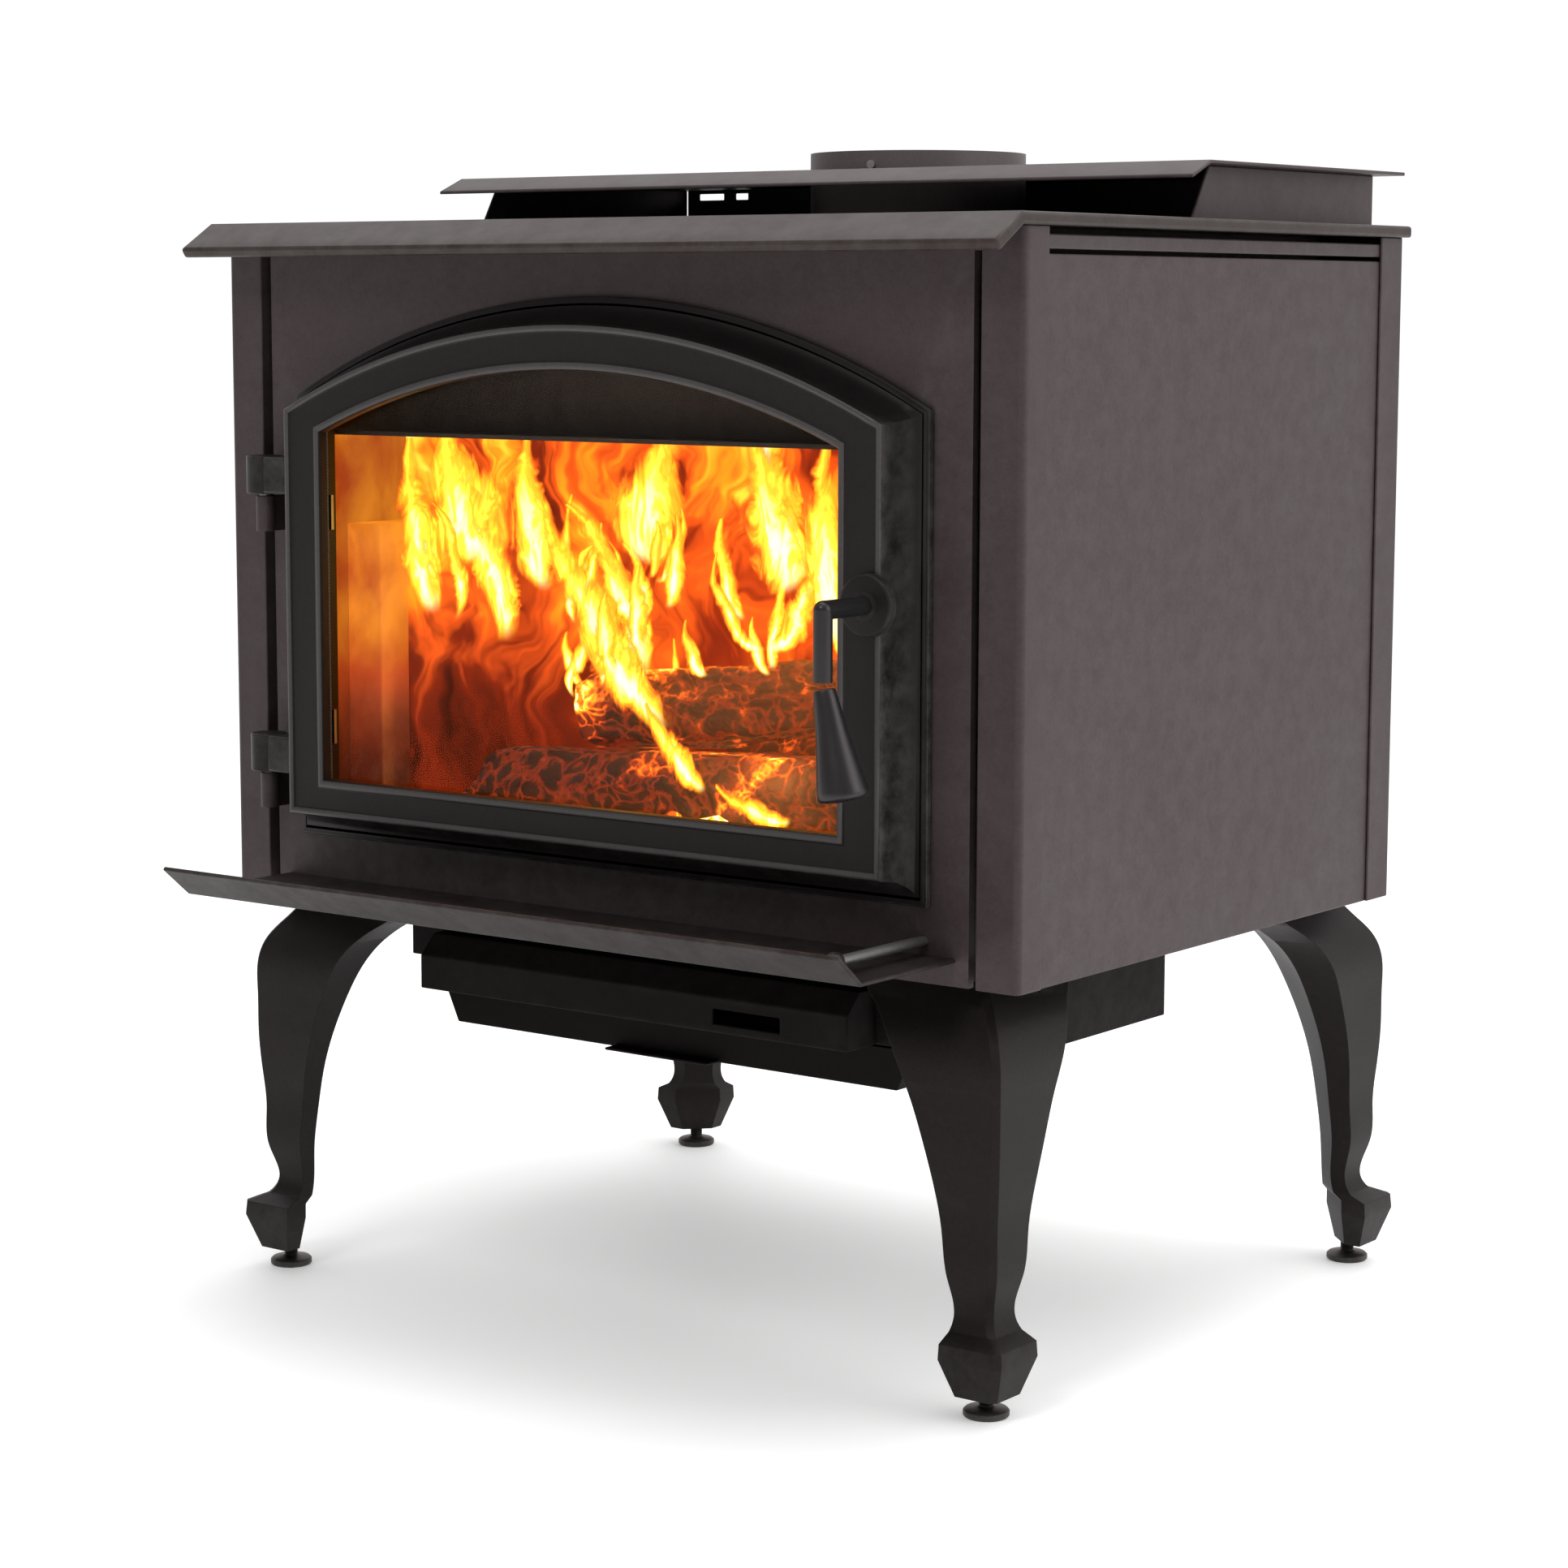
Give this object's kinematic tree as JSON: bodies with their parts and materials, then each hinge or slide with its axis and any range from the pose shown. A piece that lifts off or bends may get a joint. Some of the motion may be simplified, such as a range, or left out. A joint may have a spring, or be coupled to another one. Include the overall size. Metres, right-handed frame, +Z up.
{
  "type": "wood burning stove",
  "caption": "Free-standing wood stove: arched glass door, four curved legs, ash shelf, ash drawer, raised top deflector and a round flue collar.",
  "frame": {"origin": "on the floor under the centre of the bounding box", "axes": "+Z up, the door faces -Y, +X to the right seen from the front"},
  "size_m": [0.688, 0.646, 0.811],
  "materials": {
    "stove_paint": "high-temperature matt metallic black",
    "firebox_steel": "bare, heat-darkened plate",
    "cast_iron_black": "painted cast iron, satin black",
    "zinc_steel": "zinc-plated, dulled by heat",
    "ceramic_glass": "clear ceramic glass, warm in firelight",
    "rope_grey": "glass-fibre rope, graphited",
    "firebrick": "pale refractory, sooted",
    "charred_wood": "charred, glowing in the cracks",
    "embers": "glowing charcoal"
  },
  "bodies": {
    "stove": {"air_inlet_box": "stove_paint", "air_wash_duct": "firebox_steel", "ash_shelf": "stove_paint", "baffle_boards": "firebrick", "casing_ties": "firebox_steel", "collar_screws": "zinc_steel", "convection_pan": "stove_paint", "deflector_plate": "stove_paint", "deflector_support_left": "stove_paint", "deflector_support_right": "stove_paint", "drawer_runners": "firebox_steel", "ember_bed": "embers", "fire_logs": "charred_wood", "firebox_back": "firebox_steel", "firebox_floor": "firebox_steel", "firebox_left": "firebox_steel", "firebox_right": "firebox_steel", "flue_collar": "stove_paint", "front_plate": "stove_paint", "front_post_left": "stove_paint", "front_post_right": "stove_paint", "hearth_bricks": "firebrick", "hinge_knuckles": "stove_paint", "hinge_pins": "zinc_steel", "latch_strike": "zinc_steel", "leg_bolts": "zinc_steel", "leg_front_left": "cast_iron_black", "leg_front_right": "cast_iron_black", "leg_rear_left": "cast_iron_black", "leg_rear_right": "cast_iron_black", "primary_air_manifold": "firebox_steel", "rear_bricks": "firebrick", "rear_heat_shield": "stove_paint", "rear_post_left": "stove_paint", "rear_post_right": "stove_paint", "secondary_air_tubes": "zinc_steel", "side_bricks_left": "firebrick", "side_bricks_right": "firebrick", "side_panel_left": "stove_paint", "side_panel_right": "stove_paint", "side_rails": "stove_paint", "top_plate": "stove_paint"},
    "door": {"door_frame": "cast_iron_black", "door_glass": "ceramic_glass", "glass_gasket": "rope_grey", "door_rope_seal": "rope_grey", "glass_clips": "zinc_steel", "glass_clip_screws": "zinc_steel", "handle_boss": "stove_paint"},
    "handle": {"handle_lever": "stove_paint", "handle_grip": "stove_paint", "latch_cam": "stove_paint", "latch_nut": "zinc_steel"},
    "air_control": {"air_control_rod": "zinc_steel", "air_control_knob": "zinc_steel"},
    "drawer": {"ash_drawer": "stove_paint"},
    "foot_fl": {"foot_front_left": "zinc_steel"},
    "foot_fr": {"foot_front_right": "zinc_steel"},
    "foot_rl": {"foot_rear_left": "zinc_steel"},
    "foot_rr": {"foot_rear_right": "zinc_steel"}
  },
  "joints": [
    {"name": "door_hinge", "type": "hinge", "parent": "stove", "child": "door", "pos_m": [-0.29, -0.216, 0.48], "axis": [0, 0, -1], "range_deg": [0, 110]},
    {"name": "handle_turn", "type": "hinge", "parent": "door", "child": "handle", "pos_m": [0.247, -0.25, 0.517], "axis": [0, -1, 0], "range_deg": [0, 90]},
    {"name": "air_control_push", "type": "slide", "parent": "stove", "child": "air_control", "axis": [0, 1, 0], "range_m": [0, 0.03]},
    {"name": "ash_drawer_slide", "type": "slide", "parent": "stove", "child": "drawer", "axis": [0, -1, 0], "range_m": [0, 0.15]},
    {"name": "foot_front_left_screw", "type": "slide", "parent": "stove", "child": "foot_fl", "axis": [0, 0, -1], "range_m": [0, 0.012]},
    {"name": "foot_front_right_screw", "type": "slide", "parent": "stove", "child": "foot_fr", "axis": [0, 0, -1], "range_m": [0, 0.012]},
    {"name": "foot_rear_left_screw", "type": "slide", "parent": "stove", "child": "foot_rl", "axis": [0, 0, -1], "range_m": [0, 0.012]},
    {"name": "foot_rear_right_screw", "type": "slide", "parent": "stove", "child": "foot_rr", "axis": [0, 0, -1], "range_m": [0, 0.012]}
  ]
}
